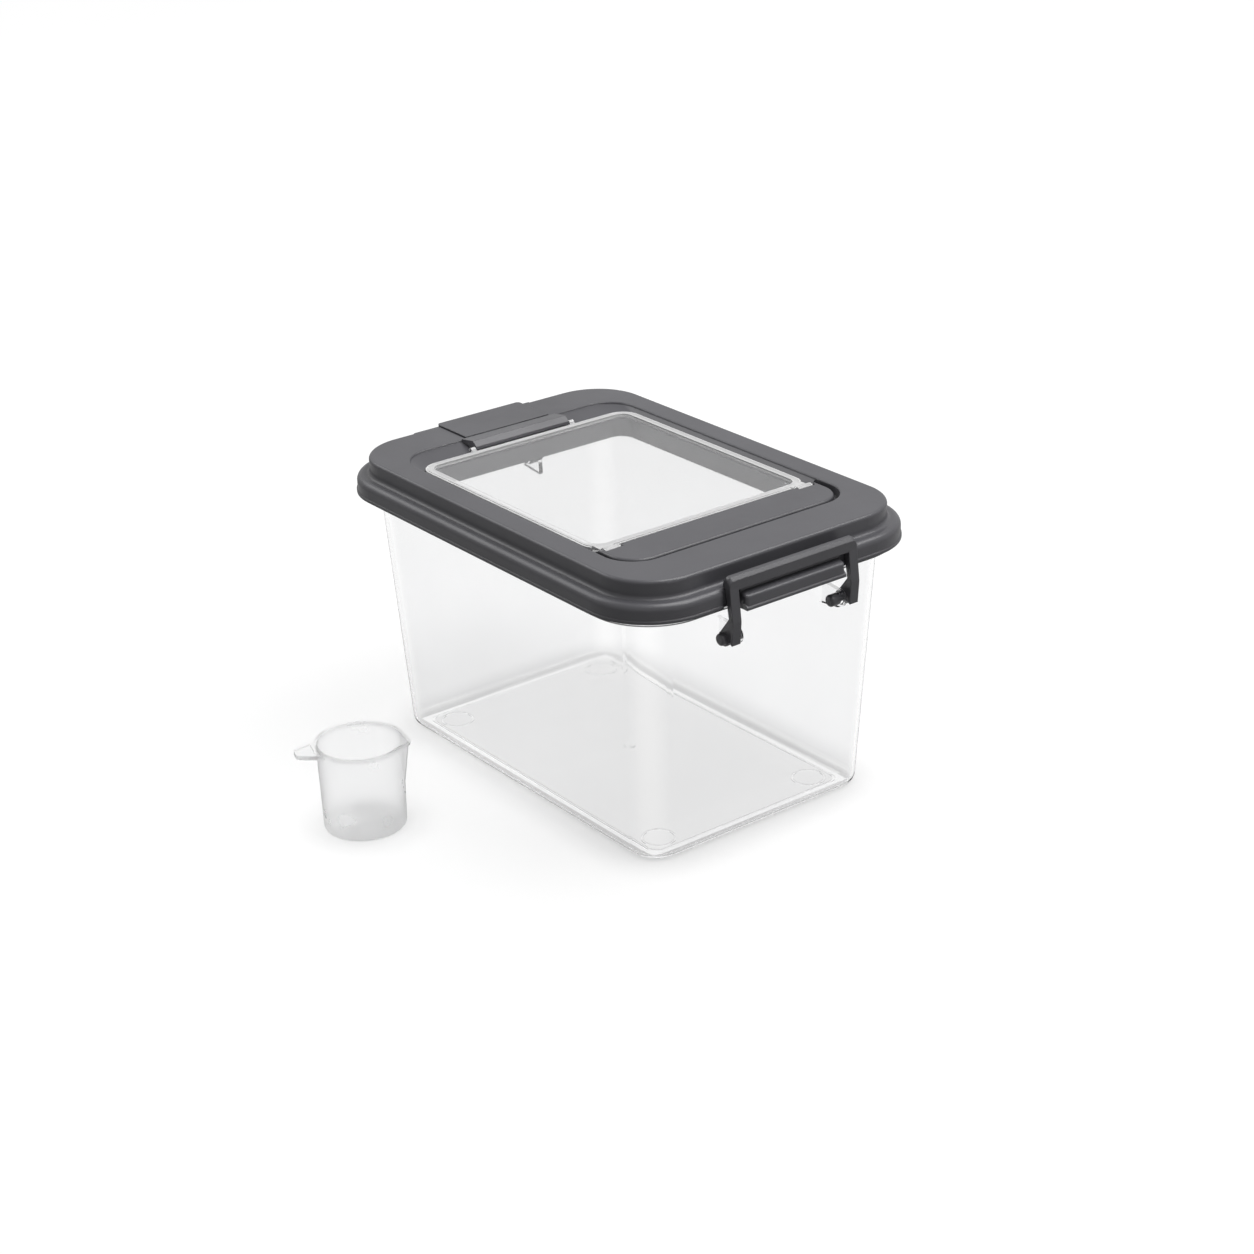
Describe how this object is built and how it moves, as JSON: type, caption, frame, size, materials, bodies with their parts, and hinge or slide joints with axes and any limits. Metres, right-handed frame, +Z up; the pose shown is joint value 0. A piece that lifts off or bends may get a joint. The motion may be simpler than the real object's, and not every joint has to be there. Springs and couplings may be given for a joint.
{
  "type": "rice storage container",
  "caption": "Clear rectangular rice bin with a latched charcoal lid, a hinged clear window held by a snap clip, and a loose measuring cup.",
  "frame": {"origin": "centre of the tub's base, on the surface that the bin stands on", "axes": "+X along the long way towards the end with the hinge panel, +Y across the short way, +Z up"},
  "size_m": [0.3946, 0.3995, 0.2282],
  "materials": {
    "clear_tub": "clear, glossy",
    "clear_window": "clear, glossy",
    "clear_cup": "clear, slightly hazy",
    "charcoal": "satin",
    "latch_black": "satin",
    "soft_seal": "soft, translucent white"
  },
  "bodies": {
    "tub": {"tub": "clear_tub"},
    "lid": {"lid": "charcoal", "hinge_panel": "charcoal", "lid_seal": "soft_seal"},
    "flap": {"flap_window": "clear_window", "flap_seal": "soft_seal", "clip_pin": "charcoal"},
    "flap_clip": {"flap_clip": "charcoal"},
    "front_latch": {"front_latch": "latch_black"},
    "back_latch": {"back_latch": "latch_black"},
    "measuring_cup": {"measuring_cup": "clear_cup"}
  },
  "joints": [
    {"name": "lid_lift", "type": "slide", "parent": "tub", "child": "lid", "axis": [0, 0, 1], "range_m": [0, 0.03]},
    {"name": "front_latch_swing", "type": "hinge", "parent": "tub", "child": "front_latch", "pos_m": [0.187, 0, 0.174], "axis": [0, 1, 0], "range_deg": [0, 140]},
    {"name": "back_latch_swing", "type": "hinge", "parent": "tub", "child": "back_latch", "pos_m": [-0.187, 0, 0.174], "axis": [0, -1, 0], "range_deg": [0, 140]},
    {"name": "flap_hinge", "type": "hinge", "parent": "lid", "child": "flap", "pos_m": [0.1035, 0, 0.2212], "axis": [0, 1, 0], "range_deg": [0, 110]},
    {"name": "clip_hinge", "type": "hinge", "parent": "flap", "child": "flap_clip", "pos_m": [-0.1235, 0, 0.2224], "axis": [0, 1, 0], "range_deg": [0, 90]},
    {"name": "cup_lift", "type": "slide", "parent": "tub", "child": "measuring_cup", "axis": [0, 0, 1], "range_m": [0, 0.12]}
  ],
  "couplings": [
    {"joint": "front_latch_swing", "follows": "lid_lift", "rad_per_m": 81.4},
    {"joint": "back_latch_swing", "follows": "lid_lift", "rad_per_m": 81.4}
  ]
}
